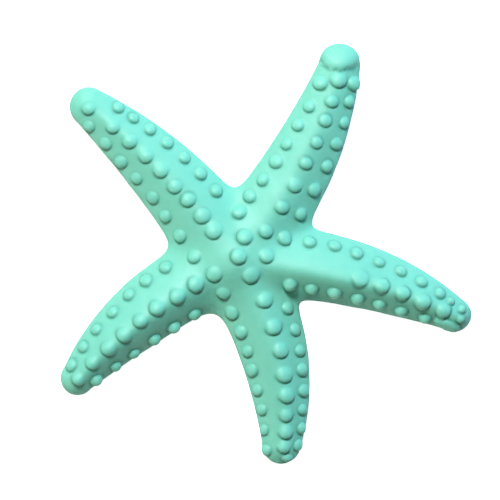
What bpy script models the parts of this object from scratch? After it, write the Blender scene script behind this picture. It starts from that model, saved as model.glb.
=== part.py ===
"""Starfish sand mould: one shell moulded in a single piece, open underneath.

The upper skin is a relief over the plan of five bent arms. A rounded ridge runs down each arm,
the ridges fall steeply to the edge, and fillets join the arms round the middle. Domed bumps stand
on it in rows. The inner skin follows at the wall's thickness, with a dimple under each bump, so
that sand pressed into the mould takes the same bumps. Both skins end in one flat rim at z = 0.

X runs to the right and Y to the top of the plan. The origin is under the middle of the box.
"""

import math
from collections import namedtuple

import bmesh
import bpy
import numpy as np
from mathutils import Vector
from mathutils.geometry import delaunay_2d_cdt

mm = 0.001

# Shell
WALL = 1.6 * mm
CROWN_EXTRA = 0.7 * mm
RIM_HEIGHT = 2.6 * mm

# Arms: length from the middle to the tip, and half widths at the root, half way and at the tip
UPPER_LEFT_LENGTH = 76.8 * mm
UPPER_LEFT_ROOT = 14.0 * mm
UPPER_LEFT_MIDDLE = 11.9 * mm
UPPER_LEFT_TIP = 6.6 * mm
UPPER_RIGHT_LENGTH = 81.4 * mm
UPPER_RIGHT_ROOT = 13.0 * mm
UPPER_RIGHT_MIDDLE = 11.9 * mm
UPPER_RIGHT_TIP = 7.0 * mm
RIGHT_LENGTH = 83.4 * mm
RIGHT_ROOT = 10.4 * mm
RIGHT_MIDDLE = 11.2 * mm
RIGHT_TIP = 5.9 * mm
LOWER_LENGTH = 72.1 * mm
LOWER_ROOT = 11.6 * mm
LOWER_MIDDLE = 11.6 * mm
LOWER_TIP = 6.6 * mm
LOWER_LEFT_LENGTH = 71.4 * mm
LOWER_LEFT_ROOT = 10.9 * mm
LOWER_LEFT_MIDDLE = 11.3 * mm
LOWER_LEFT_TIP = 5.8 * mm

# Relief of the arms: the ridge's height follows from how far it lies inside the outline
FLANK_RISE = 10.9 * mm
FLANK_REACH = 10.5 * mm
FLANK_POWER = 0.8
SHOULDER = 0.3 * mm
CRISP_RIDGE = 2.0 * mm
SOFT_RIDGE = 3.6 * mm
ROOT_RIDGE = 8.0 * mm
STEEP_FLANK = 1.0
MEDIUM_FLANK = 0.8
GENTLE_FLANK = 0.7
ROOT_SHARE = 0.3
ARMPIT_FILLET = 2.2 * mm

# Bumps
CREST_RADIUS = 2.7 * mm
CREST_HEIGHT = 1.65 * mm
CREST_WIDENING = 1.08
SIDE_RADIUS = 2.4 * mm
SIDE_HEIGHT = 1.65 * mm
SIDE_PLACE = 0.71
TIP_SHRINK = 0.17
SADDLE_FILL = 0.45
DOME_FULLNESS = 3.6
MIDDLE_RADIUS = 2.7 * mm
MIDDLE_HEIGHT = 1.55 * mm
MIDDLE_PLACES = ((1.3 * mm, 2.0 * mm), (3.4 * mm, 8.2 * mm))
CAP_RADIUS = 6.4 * mm
SMALL_CAP_RADIUS = 3.5 * mm
CAP_HEIGHT = 0.95 * mm
LONG_LUMP_RADIUS = 4.8 * mm
LONG_LUMP_HEIGHT = 1.3 * mm
TIP_LUMP_RADIUS = 2.1 * mm
SMALL_LUMP_RADIUS = 1.6 * mm
TIP_LUMP_HEIGHT = 1.1 * mm

# Dimples under the bumps
DIMPLE_INSET = 0.95 * mm
DIMPLE_FLOOR = 0.35 * mm
DIMPLE_LEAST = 1.0 * mm

# Mesh
OUTLINE_STEP = 2.7 * mm
WALK_STEP = 1.0 * mm
FIELD_STEP = 3.3 * mm
CREST_STEP = 2.2 * mm
POINT_GAP = 0.5 * mm
EDGE_GAP = 0.7 * mm
BUMP_SIDES = 10
DIMPLE_SIDES = 6
DOME_RINGS = (1.0, 0.76)
SMOOTH_ANGLE = 38
SLOPE_PROBE = 0.02 * mm

# Finish
MINT = (0.25, 0.79, 0.64, 1.0)
SATIN = 0.42

Row = namedtuple("Row", "first last count crowding near far", defaults=(0.0, 0.0))
Lump = namedtuple("Lump", "along side radius widening height")
Arm = namedtuple("Arm", "heading bend length root middle tip ridge steepness crest left right lumps")
Bump = namedtuple("Bump", "foot axis along across radius widening height")

# An arm leaves the middle at its heading and turns through its bend, both in degrees anticlockwise.
# A row's bumps run from its first to its last share of the arm's length, and its crowding moves the
# ones between them outwards along the arm; near and far move them to the left at the arm's root and
# tip. Lumps are the odd domes on the tips: two smooth caps, a long one low on the right arm, and a
# few small ones.
ARMS = (
    Arm(123.3, 21.5, UPPER_LEFT_LENGTH, UPPER_LEFT_ROOT, UPPER_LEFT_MIDDLE, UPPER_LEFT_TIP,
        CRISP_RIDGE, GENTLE_FLANK,
        crest=Row(0.155, 0.785, 8, -0.065),
        left=Row(0.115, 0.865, 8, 0.025),
        right=Row(0.285, 0.82, 7, 0.05),
        lumps=(Lump(0.965, -0.2, SMALL_CAP_RADIUS, 1.1, CAP_HEIGHT),
               Lump(0.905, 0.15, TIP_LUMP_RADIUS, 1.2, TIP_LUMP_HEIGHT))),
    Arm(48.0, 28.7, UPPER_RIGHT_LENGTH, UPPER_RIGHT_ROOT, UPPER_RIGHT_MIDDLE, UPPER_RIGHT_TIP,
        SOFT_RIDGE, GENTLE_FLANK,
        crest=Row(0.18, 0.865, 8, 0.035, -0.13, -0.08),
        left=Row(0.17, 0.8, 8, 0.025),
        right=Row(0.2, 0.865, 8, 0.125, 0.08, -0.02),
        lumps=(Lump(0.975, 0.25, CAP_RADIUS, 1.15, CAP_HEIGHT),)),
    Arm(1.0, -32.5, RIGHT_LENGTH, RIGHT_ROOT, RIGHT_MIDDLE, RIGHT_TIP,
        CRISP_RIDGE, STEEP_FLANK,
        crest=Row(0.135, 0.86, 9, -0.05, 0.08, -0.06),
        left=Row(0.29, 0.835, 7, 0.035, -0.1, -0.1),
        right=Row(0.235, 0.825, 7, 0.05, 0.14, -0.03),
        lumps=(Lump(0.92, -0.66, LONG_LUMP_RADIUS, 0.52, LONG_LUMP_HEIGHT),
               Lump(0.885, 0.52, SMALL_LUMP_RADIUS, 1.0, TIP_LUMP_HEIGHT),
               Lump(0.94, 0.5, SMALL_LUMP_RADIUS, 1.2, TIP_LUMP_HEIGHT),
               Lump(0.955, -0.02, SMALL_LUMP_RADIUS, 1.1, TIP_LUMP_HEIGHT))),
    Arm(-56, -42, LOWER_LENGTH, LOWER_ROOT, LOWER_MIDDLE, LOWER_TIP,
        SOFT_RIDGE, MEDIUM_FLANK,
        crest=Row(0.085, 0.9, 9, 0.205, 0.1, 0.16),
        left=Row(0.3, 0.905, 8, 0.07),
        right=Row(0.11, 0.94, 9, 0.03, 0.0, -0.22),
        lumps=(Lump(0.965, 0.35, SMALL_LUMP_RADIUS, 1.3, TIP_LUMP_HEIGHT),)),
    Arm(-156.8, 31, LOWER_LEFT_LENGTH, LOWER_LEFT_ROOT, LOWER_LEFT_MIDDLE, LOWER_LEFT_TIP,
        CRISP_RIDGE, STEEP_FLANK,
        crest=Row(0.105, 0.915, 9, 0.03, 0.13, 0.0),
        left=Row(0.285, 0.87, 6, 0.03),
        right=Row(0.28, 0.885, 7, 0.03),
        lumps=()),
)


def arm_radius(arm):
    """Radius of the arm's centreline, negative where the arm bends clockwise."""
    return arm.length / math.radians(arm.bend)


def place(arm, along, across):
    """Plan position at a distance along the arm and to the left of its centreline."""
    heading = math.radians(arm.heading)
    radius = arm_radius(arm)
    turned = heading + along / radius
    x = radius * (math.sin(turned) - math.sin(heading)) - across * math.sin(turned)
    y = radius * (math.cos(heading) - math.cos(turned)) + across * math.cos(turned)
    return x, y


def half_width(arm, along):
    """Half width of the arm: a smooth curve through its root, its middle and its tip."""
    share = along / (arm.length - arm.tip)
    root = arm.root * (1 - share) * (1 - 2 * share)
    middle = arm.middle * 4 * share * (1 - share)
    tip = arm.tip * share * (2 * share - 1)
    return root + middle + tip


def arm_shape(arm, x, y):
    """How far a place lies inside one arm's outline, zero on it, and how steep the arm's flank is there."""
    heading = math.radians(arm.heading)
    radius = arm_radius(arm)
    side = math.copysign(1.0, radius)
    ahead = x * math.cos(heading) + y * math.sin(heading)
    aside = y * math.cos(heading) - x * math.sin(heading)
    along = radius * np.arctan2(side * ahead, side * (radius - aside))
    along = np.clip(along, 0.0, arm.length - arm.tip)
    centre_ahead = radius * np.sin(along / radius)
    centre_aside = radius * (1 - np.cos(along / radius))
    off_centre = np.hypot(ahead - centre_ahead, aside - centre_aside)
    past_root = 1 - np.exp(-(along / (ROOT_SHARE * arm.length)) ** 2)
    ridge = ROOT_RIDGE + (arm.ridge - ROOT_RIDGE) * past_root
    inside = np.hypot(half_width(arm, along), ridge) - np.hypot(off_centre, ridge)
    return inside, 1 + (arm.steepness - 1) * past_root


def shape(x, y):
    """How far a place lies inside the whole outline, with fillets where arms meet, and how steep it is."""
    shapes = np.array([arm_shape(arm, x, y) for arm in ARMS])
    depths = shapes[:, 0]
    deepest = depths.max(axis=0)
    weights = np.exp((depths - deepest) / ARMPIT_FILLET)
    total = weights.sum(axis=0)
    steepness = (weights * shapes[:, 1]).sum(axis=0) / total
    return deepest + ARMPIT_FILLET * np.log(total), steepness


def depth(x, y):
    """How far a place lies inside the whole outline."""
    return shape(x, y)[0]


def rise(inside):
    """Height gained over the edge at a depth inside the outline; the flank eases towards the ridge."""
    inside = np.maximum(inside, 0.0)
    eased = ((inside + SHOULDER) / FLANK_REACH) ** FLANK_POWER
    return FLANK_RISE * (eased - (SHOULDER / FLANK_REACH) ** FLANK_POWER)


def outer_height(x, y):
    """Height of the upper skin without its bumps."""
    inside, steepness = shape(x, y)
    return RIM_HEIGHT + steepness * rise(inside)


def inner_height(x, y):
    """Height of the inner skin without its dimples."""
    inside, steepness = shape(x, y)
    return RIM_HEIGHT - CROWN_EXTRA + steepness * rise(inside - WALL)


def on_skin(height, x, y):
    """Points of a skin over a set of plan places."""
    return np.stack([x, y, height(x, y)], axis=-1)


def skin_normal(height, x, y):
    """Unit normals of a skin, pointing up and out."""
    slope_x = (height(x + SLOPE_PROBE, y) - height(x - SLOPE_PROBE, y)) / (2 * SLOPE_PROBE)
    slope_y = (height(x, y + SLOPE_PROBE) - height(x, y - SLOPE_PROBE)) / (2 * SLOPE_PROBE)
    normal = np.stack([-slope_x, -slope_y, np.ones_like(slope_x)], axis=-1)
    return normal / np.linalg.norm(normal, axis=-1, keepdims=True)


def row_places(arm, row):
    """Distances along the arm of one row's bumps."""
    places = []
    for step in range(row.count):
        share = step / (row.count - 1)
        spread = row.first + (row.last - row.first) * share + row.crowding * share * (1 - share)
        places.append(arm.length * spread)
    return places


def make_bump(spot, heading, radius, widening, height):
    """A bump's foot on the upper skin and its axes: out of the skin, along a heading and across it."""
    plan = np.array(spot[:1]), np.array(spot[1:])
    foot = on_skin(outer_height, *plan)[0]
    axis = skin_normal(outer_height, *plan)[0]
    ahead = np.array([math.cos(heading), math.sin(heading), 0.0])
    sideways = np.cross(axis, ahead)
    sideways /= np.linalg.norm(sideways)
    return Bump(foot, axis, np.cross(sideways, axis), sideways, radius, widening, height)


def arm_bump(arm, along, side, radius, widening, height):
    """A bump on an arm, at a share of its half width to the left of the ridge."""
    across = side * half_width(arm, min(along, arm.length - arm.tip))
    heading = math.radians(arm.heading) + along / arm_radius(arm)
    return make_bump(place(arm, along, across), heading, radius, widening, height)


def make_bumps():
    """The bumps in the middle, then each arm's crest row, its two side rows and its lumps."""
    bumps = [make_bump(spot, 0.0, MIDDLE_RADIUS, 1.0, MIDDLE_HEIGHT) for spot in MIDDLE_PLACES]
    for arm in ARMS:
        rows = (
            (arm.crest, 0.0, CREST_RADIUS, CREST_WIDENING, CREST_HEIGHT),
            (arm.left, SIDE_PLACE, SIDE_RADIUS, 1.0, SIDE_HEIGHT),
            (arm.right, -SIDE_PLACE, SIDE_RADIUS, 1.0, SIDE_HEIGHT),
        )
        for row, side, radius, widening, height in rows:
            for along in row_places(arm, row):
                size = 1 - TIP_SHRINK * along / arm.length
                place_across = side + row.near + (row.far - row.near) * along / arm.length
                bumps.append(arm_bump(arm, along, place_across, size * radius, widening, size * height))
        for lump in arm.lumps:
            along = arm.length * lump.along
            bumps.append(arm_bump(arm, along, lump.side, lump.radius, lump.widening, lump.height))
    return bumps


def swell(points, bumps):
    """Points of a skin moved out by the domes that stand under them."""
    reach = np.zeros(len(points))
    moved = points.copy()
    for bump in bumps:
        offset = points - bump.foot
        ring = np.hypot(offset @ bump.along, offset @ bump.across / bump.widening) / bump.radius
        dome = np.sqrt(np.clip(1 - ring ** DOME_FULLNESS, 0.0, 1.0))
        lift = dome * (bump.height - SADDLE_FILL * np.minimum(offset @ bump.axis, 0.0))
        higher = lift > reach
        reach[higher] = lift[higher]
        moved[higher] = points[higher] + lift[higher, None] * bump.axis
    return moved


def ring_places(height, bump, share, sides):
    """Plan places of a ring round a bump, found by sliding them over the skin to the ring's radius."""
    turns = np.arange(sides) * 2 * math.pi / sides
    along = share * bump.radius * np.cos(turns)
    across = share * bump.radius * bump.widening * np.sin(turns)
    target = bump.foot + along[:, None] * bump.along + across[:, None] * bump.across
    plan = target[:, :2].copy()
    for _ in range(4):
        error = on_skin(height, plan[:, 0], plan[:, 1]) - target
        error -= (error @ bump.axis)[:, None] * bump.axis
        plan -= error[:, :2]
    return plan


def make_dimples(bumps):
    """The larger bumps' counterparts in the inner skin: narrower, and not as deep."""
    dimples = []
    for bump in bumps:
        x, y = bump.foot[:1], bump.foot[1:2]
        foot = on_skin(inner_height, x, y)[0]
        radius = bump.radius - DIMPLE_INSET
        if radius > DIMPLE_LEAST:
            dimples.append(bump._replace(foot=foot, radius=radius, height=bump.height - DIMPLE_FLOOR))
    return dimples


def inward(x, y):
    """Unit plan directions that lead straight into the shape."""
    slope_x = depth(x + SLOPE_PROBE, y) - depth(x - SLOPE_PROBE, y)
    slope_y = depth(x, y + SLOPE_PROBE) - depth(x, y - SLOPE_PROBE)
    direction = np.stack([slope_x, slope_y], axis=-1)
    return direction / np.linalg.norm(direction, axis=-1, keepdims=True)


def to_outline(plan):
    """Plan places moved onto the outline."""
    for _ in range(3):
        plan = plan - depth(plan[:, 0], plan[:, 1])[:, None] * inward(plan[:, 0], plan[:, 1])
    return plan


def walk_outline():
    """Evenly spaced places round the outline, anticlockwise, starting at the first arm's tip."""
    start = to_outline(np.array([place(ARMS[0], ARMS[0].length, 0.0)]))
    trail = [start[0]]
    while len(trail) < 4 or np.linalg.norm(trail[-1] - trail[0]) > WALK_STEP:
        here = trail[-1][None, :]
        into = inward(here[:, 0], here[:, 1])[0]
        trail.append(to_outline(here + WALK_STEP * np.array([[into[1], -into[0]]]))[0])
    trail = np.array(trail + trail[:1])
    steps = np.linalg.norm(np.diff(trail, axis=0), axis=1)
    travelled = np.concatenate([[0.0], np.cumsum(steps)])
    count = round(travelled[-1] / OUTLINE_STEP)
    stations = np.arange(count) * travelled[-1] / count
    return to_outline(np.stack([np.interp(stations, travelled, trail[:, axis]) for axis in (0, 1)], axis=1))


def crest_places():
    """Places down each arm's ridge, which keep the ridge crisp between its bumps."""
    places = []
    for arm in ARMS:
        count = int(arm.length / CREST_STEP)
        places += [place(arm, step * CREST_STEP, 0.0) for step in range(1, count)]
    return np.array(places)


def field_places(outline):
    """A triangular field of places over the box of the outline."""
    low = outline.min(axis=0)
    high = outline.max(axis=0)
    row_step = FIELD_STEP * math.sqrt(3) / 2
    places = []
    for row in range(int((high[1] - low[1]) / row_step) + 1):
        for column in range(int((high[0] - low[0]) / FIELD_STEP) + 1):
            x = low[0] + (column + 0.5 * (row % 2)) * FIELD_STEP
            places.append((x, low[1] + row * row_step))
    return np.array(places)


def thin_out(outline, groups):
    """Places of each group in turn, less those too near the outline or a place already kept.

    A group comes with the gap that its places keep to the places before it.
    """
    kept = outline
    for places, gap in groups:
        clear = depth(places[:, 0], places[:, 1]) > depth(outline[:, 0], outline[:, 1]).mean() + EDGE_GAP
        for spot in places[clear]:
            if np.linalg.norm(kept - spot, axis=1).min() > gap:
                kept = np.vstack([kept, spot])
    return kept


def sheet(outline, height, bumps, sides, rings):
    """Corners and triangles of one skin, with its outline's corners first."""
    ring_sets = [ring_places(height, bump, share, sides) for bump in bumps for share in rings]
    centres = np.array([bump.foot[:2] for bump in bumps])
    groups = (
        (centres, POINT_GAP),
        (np.vstack(ring_sets), POINT_GAP),
        (crest_places(), CREST_STEP / 2),
        (field_places(outline), FIELD_STEP / 2),
    )
    plan = thin_out(outline, groups)
    loop = list(range(len(outline)))
    flat = delaunay_2d_cdt([Vector(spot) for spot in plan], [], [loop], 1, POINT_GAP / 1000)
    corners = np.array([tuple(spot) for spot in flat[0]])
    corners = swell(on_skin(height, corners[:, 0], corners[:, 1]), bumps)
    order = {source[0]: corner for corner, source in enumerate(flat[3]) if source}
    return corners, flat[2], [order[corner] for corner in loop]


def add_sheet(mesh, corners, triangles):
    """One skin's corners and triangles added to the mesh; gives the new corners."""
    added = [mesh.verts.new(corner) for corner in corners]
    for triangle in triangles:
        mesh.faces.new([added[corner] for corner in triangle])
    return added


def add_loop(mesh, plan):
    """A closed run of corners on the rim's plane."""
    return [mesh.verts.new((x, y, 0.0)) for x, y in plan]


def add_band(mesh, upper, lower):
    """A band of faces between two closed runs of corners."""
    count = len(upper)
    for corner in range(count):
        following = (corner + 1) % count
        mesh.faces.new([upper[corner], upper[following], lower[following], lower[corner]])


def make_shell():
    """Upper skin, inner skin and the rim between them, as one closed mesh."""
    outline = walk_outline()
    opening = outline + WALL * inward(outline[:, 0], outline[:, 1])
    bumps = make_bumps()
    upper = sheet(outline, outer_height, bumps, BUMP_SIDES, DOME_RINGS)
    inner = sheet(opening, inner_height, make_dimples(bumps), DIMPLE_SIDES, DOME_RINGS[:1])

    mesh = bmesh.new()
    upper_corners = add_sheet(mesh, upper[0], upper[1])
    inner_corners = add_sheet(mesh, inner[0], inner[1])
    outer_rim = add_loop(mesh, outline)
    inner_rim = add_loop(mesh, opening)
    add_band(mesh, [upper_corners[corner] for corner in upper[2]], outer_rim)
    add_band(mesh, outer_rim, inner_rim)
    add_band(mesh, inner_rim, [inner_corners[corner] for corner in inner[2]])
    bmesh.ops.recalc_face_normals(mesh, faces=mesh.faces)
    bmesh.ops.triangulate(mesh, faces=mesh.faces)

    places = np.array([corner.co for corner in mesh.verts])
    middle = (places.min(axis=0) + places.max(axis=0)) / 2
    bmesh.ops.translate(mesh, verts=mesh.verts, vec=(-middle[0], -middle[1], 0.0))
    return mesh


def make_plastic():
    """Satin mint plastic."""
    material = bpy.data.materials.new("mint_plastic")
    material.use_nodes = True
    shader = material.node_tree.nodes["Principled BSDF"]
    shader.inputs["Base Color"].default_value = MINT
    shader.inputs["Roughness"].default_value = SATIN
    shader.inputs["Metallic"].default_value = 0.0
    material.diffuse_color = MINT
    return material


def build():
    """The mould in an otherwise empty scene."""
    for thing in list(bpy.data.objects):
        bpy.data.objects.remove(thing, do_unlink=True)
    mesh = bpy.data.meshes.new("starfish_shell")
    shell = make_shell()
    shell.to_mesh(mesh)
    shell.free()
    mesh.materials.append(make_plastic())
    mesh.shade_smooth()
    mesh.set_sharp_from_angle(angle=math.radians(SMOOTH_ANGLE))
    bpy.context.scene.collection.objects.link(bpy.data.objects.new("starfish_shell", mesh))


build()
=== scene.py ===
"""Starfish sand mould in satin mint plastic, on a white table under soft light.

One moulded shell, open underneath. Its upper skin is a relief over the plan of five bent arms, the
inner skin follows at the wall's thickness, and a wall with rounded edges joins them at the rim. A
Geometry Nodes tree raises the rows of domed bumps on the upper skin and the dimples inside them.
"""

import math
import random
from collections import namedtuple

import bmesh
import bpy
import numpy as np
from mathutils import Matrix, Vector
from mathutils.geometry import delaunay_2d_cdt


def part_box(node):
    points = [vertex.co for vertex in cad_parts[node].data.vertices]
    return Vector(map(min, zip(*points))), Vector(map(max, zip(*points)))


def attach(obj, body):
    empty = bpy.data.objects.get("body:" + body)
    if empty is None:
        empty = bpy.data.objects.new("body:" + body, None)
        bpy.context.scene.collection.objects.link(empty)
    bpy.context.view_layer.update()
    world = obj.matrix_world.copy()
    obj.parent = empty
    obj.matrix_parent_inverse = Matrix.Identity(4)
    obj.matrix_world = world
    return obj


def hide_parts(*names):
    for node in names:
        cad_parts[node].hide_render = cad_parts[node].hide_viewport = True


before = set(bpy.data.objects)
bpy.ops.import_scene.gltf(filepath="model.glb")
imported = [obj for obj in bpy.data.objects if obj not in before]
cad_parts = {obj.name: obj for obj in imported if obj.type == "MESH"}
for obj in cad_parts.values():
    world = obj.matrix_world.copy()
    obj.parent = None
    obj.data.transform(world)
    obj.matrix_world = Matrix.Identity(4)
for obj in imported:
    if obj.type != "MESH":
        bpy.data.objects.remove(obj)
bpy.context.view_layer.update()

mm = 0.001

# Shell
WALL = 1.6 * mm
CROWN_EXTRA = 0.7 * mm
RIM_HEIGHT = 2.6 * mm
SKIN_SINK = 0.16 * mm
RIM_ROUND = 0.4 * mm

# Arms: length from the middle to the tip, and half widths at the root, half way and at the tip
UPPER_LEFT = (76.8 * mm, 14.0 * mm, 11.9 * mm, 6.6 * mm)
UPPER_RIGHT = (81.4 * mm, 13.0 * mm, 11.9 * mm, 7.0 * mm)
RIGHT = (83.4 * mm, 10.4 * mm, 11.2 * mm, 5.9 * mm)
LOWER = (72.1 * mm, 11.6 * mm, 11.6 * mm, 6.6 * mm)
LOWER_LEFT = (71.4 * mm, 10.9 * mm, 11.3 * mm, 5.8 * mm)

# Relief of the arms: the ridge's height follows from how far it lies inside the outline
FLANK_RISE = 10.65 * mm
FLANK_REACH = 10.5 * mm
FLANK_POWER = 0.8
SHOULDER = 0.3 * mm
SOFT_RIDGE = 3.6 * mm
CRISP_RIDGE = 2.0 * mm
ROOT_RIDGE = 8.0 * mm
MEDIUM_ROOT_RIDGE = 6.2 * mm
CRISP_ROOT_RIDGE = 4.5 * mm
STEEP_FLANK = 1.0
MEDIUM_FLANK = 0.8
GENTLE_FLANK = 0.7
ROOT_SHARE = 0.3
ARMPIT_FILLET = 2.2 * mm

# Bumps
CREST_RADIUS = 2.8 * mm
CREST_HEIGHT = 1.45 * mm
CREST_WIDENING = 1.08
SIDE_RADIUS = 2.5 * mm
SIDE_HEIGHT = 1.55 * mm
SIDE_PLACE = 0.71
TIP_SHRINK = 0.17
SADDLE_FILL = 0.45
MIDDLE_RADIUS = 2.8 * mm
MIDDLE_HEIGHT = 1.35 * mm
MIDDLE_PLACES = ((1.3 * mm, 2.0 * mm), (3.4 * mm, 8.2 * mm))
CAP_RADIUS = 6.4 * mm
CAP_HEIGHT = 0.55 * mm
LONG_LUMP_RADIUS = 4.8 * mm
LONG_LUMP_HEIGHT = 1.5 * mm
TIP_LUMP_RADIUS = 2.1 * mm
SMALL_LUMP_RADIUS = 1.6 * mm
TIP_LUMP_HEIGHT = 1.1 * mm

# Dimples under the bumps
DIMPLE_INSET = 0.95 * mm
DIMPLE_FLOOR = 0.35 * mm

# Mesh
OUTLINE_STEP = 0.9 * mm
SKIN_STEP = 0.95 * mm
INNER_STEP = 1.7 * mm
EDGE_GAP = 0.3 * mm
MERGE_GAP = 0.04 * mm
NEIGHBOUR_REACH = 4 * CAP_RADIUS
SLIDES = 5
OUTLINE_SLIDES = 3
FEWEST_STEPS = 4
BUMP_SIDES = 26
BUMP_RINGS = (0.2, 0.4, 0.58, 0.74, 0.86, 0.94, 1.0, 1.06, 1.14, 1.26)
DIMPLE_SIDES = 14
DIMPLE_RINGS = (0.35, 0.65, 0.88, 1.0, 1.15)
WALL_LOOPS = 5
ROUND_LOOPS = 4
SLOPE_PROBE = 0.02 * mm

# Raised domes: waves are counted per metre. A dome is steep towards one side in the plan and melts into
# level skin on the other. Places on it are shares of its radius, counted towards its steep side
DOME_WAVE = 260.0
SKIN_WAVE = 95.0
STEEP_SIDE = (-0.26, -0.966, 0.0)
GENTLE_REACH = 1.4
GENTLE_FROM = 0.35
GENTLE_TO = -0.65
LEVEL_FROM = 0.6
LEVEL_TO = 0.9

# Grooves at the domes' feet, sunk a little and darkened with painted shade: darkest on the steep side,
# towards the arm's tip and on steep skin
GROOVE_WIDTH = 0.5 * mm
LIFT_TOE = 1.5 * mm
FOOT_FROM = 0.1
FOOT_TO = 0.8
RING_BACK = -0.7
RING_FRONT = 0.6
RING_BACK_SHARE = 0.1
RING_FAINTEST = 0.5
RING_RARITY = 4
STEEP_RINGED = 1.0
LUMP_RINGED = 0.2
MIDDLE_FACING = math.radians(205.0)

# How the bumps of a row differ. The early height ends at a share of the arm's length, over a short fade
EARLY_END = 0.5
EARLY_FADE = 0.1
DOME_SEED = 7
SIZE_SPREAD = 0.06
BREADTH_SPREAD = 0.09
HEIGHT_SPREAD = 0.22
SIDE_SPREAD = 0.03
PLACE_SPREAD = 0.3 * mm

# What the raising tree is given for each skin
OUTER_FINISH = {"Skin": 1, "Saddle fill": SADDLE_FILL, "Foot softness": 0.06, "Gentle share": 0.9,
                "Fullness per metre": 760.0, "Lean": 0.35,
                "Groove depth": 0.2 * mm, "Dome unevenness": 95.0, "Skin unevenness": 0.6 * mm, "Seed": 3.0}
INNER_FINISH = {"Skin": 2, "Saddle fill": SADDLE_FILL, "Foot softness": 0.05, "Gentle share": 0.0,
                "Fullness per metre": 1400.0, "Lean": 0.0,
                "Groove depth": 0.0, "Dome unevenness": 0.0, "Skin unevenness": 0.0, "Seed": 5.0}

# Finish: clouds, specks, waves and grains are counted per metre
NOISE_DETAIL = 2.0
NOISE_RANGE = (0.3, 0.7)
WIDE_NOISE_RANGE = (0.2, 0.8)
MINT = (0.190, 0.640, 0.505, 1.0)
MINT_DEEP = (0.165, 0.600, 0.480, 1.0)
MINT_PALE = (0.235, 0.690, 0.550, 1.0)
CLOUDS = 55.0
SMALL_CLOUDS = 420.0
PALE_RANGE = (0.25, 0.75)
PALE_SHARE = 0.35
# Painted shade: a dark mint painted into the grooves at the domes' feet, most on their steep lower side
MINT_SHADED = (0.030, 0.240, 0.180, 1.0)
PAINTED_SHADE_SHARE = 0.75
# Painted highlight: a paler, whiter mint on the tops of the tallest bumps, in patches, with slightly lower
# roughness there
MINT_PAINTED_HIGHLIGHT = (0.36, 0.86, 0.72, 1.0)
PAINTED_HIGHLIGHT_SHARE = 0.8
PAINTED_HIGHLIGHT_FROM = 1.25 * mm
PAINTED_HIGHLIGHT_TO = 2.1 * mm
PAINTED_HIGHLIGHT_LEAST = 0.35
PAINTED_HIGHLIGHT_GLOSS = 0.05
SPECK = (0.10, 0.42, 0.36, 1.0)
SPECK_SHARE = 0.5
SPECKS = 620.0
SPECK_CORE = 0.06
SPECK_EDGE = 0.12
SPECK_PATCHES = 300.0
SPECK_RARITY = 0.63
SATIN_LOW = 0.50
SATIN_HIGH = 0.62
PLASTIC_GLOSS = 0.7
PLASTIC_GRAIN = (900.0, 5200.0, 0.35)
GRAIN_HEIGHT = 0.035 * mm
SCATTER_SHARE = 0.12
SCATTER_COLOUR = (0.5, 1.0, 0.85)
SCATTER_DEPTH = 1.2 * mm
PAPER = (0.93, 0.93, 0.93, 1.0)
PAPER_LOW = (0.91, 0.91, 0.91, 1.0)
PAPER_CLOUDS = 14.0
PAPER_ROUGHNESS = 0.9
PAPER_GLOSS = 0.1
PAPER_GRAIN = (300.0, 2500.0, 0.5)
PAPER_GRAIN_HEIGHT = 0.02 * mm
PAPER_GLOW = 1.0

# Studio: lamps have a heading and a height in degrees, a distance, a size, a power and a tint
LAMPS = (
    ("key", 108.0, 51.0, 1.3, 0.30, 20.1, (0.94, 1.0, 0.985)),
    ("cool_fill", 45.0, 14.0, 1.2, 0.4, 4.5, (0.05, 0.55, 1.0)),
    ("warm_fill", 215.0, 14.0, 1.2, 0.4, 2.4, (1.0, 0.9, 0.55)),
)
SKY_COLOUR = (1.0, 1.0, 0.88, 1.0)
SKY_STRENGTH = 0.12
FLOOR_SIZE = 6.0
FLOOR_GAP = 0.05 * mm
CAMERA_LENS = 388.8
CAMERA_SENSOR = 36.0
CAMERA_DISTANCE = 1.8
CAMERA_TURNED = 129.3
CAMERA_LIFTED = 83.71
CAMERA_ROLL = 0.17
CAMERA_AIM = Vector((6.0 * mm, 3.0 * mm, 0.0))

Row = namedtuple("Row", "first last count crowding near far early late size ringed",
                 defaults=(0.0, 0.0, 1.0, 1.0, 1.0, 0.0))
Lump = namedtuple("Lump", "along side radius widening height")
Arm = namedtuple("Arm", "heading bend length root middle tip root_ridge ridge steepness tilt "
                 "crest left right lumps")
Bump = namedtuple("Bump", "foot axis along across radius widening height ringed")
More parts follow.
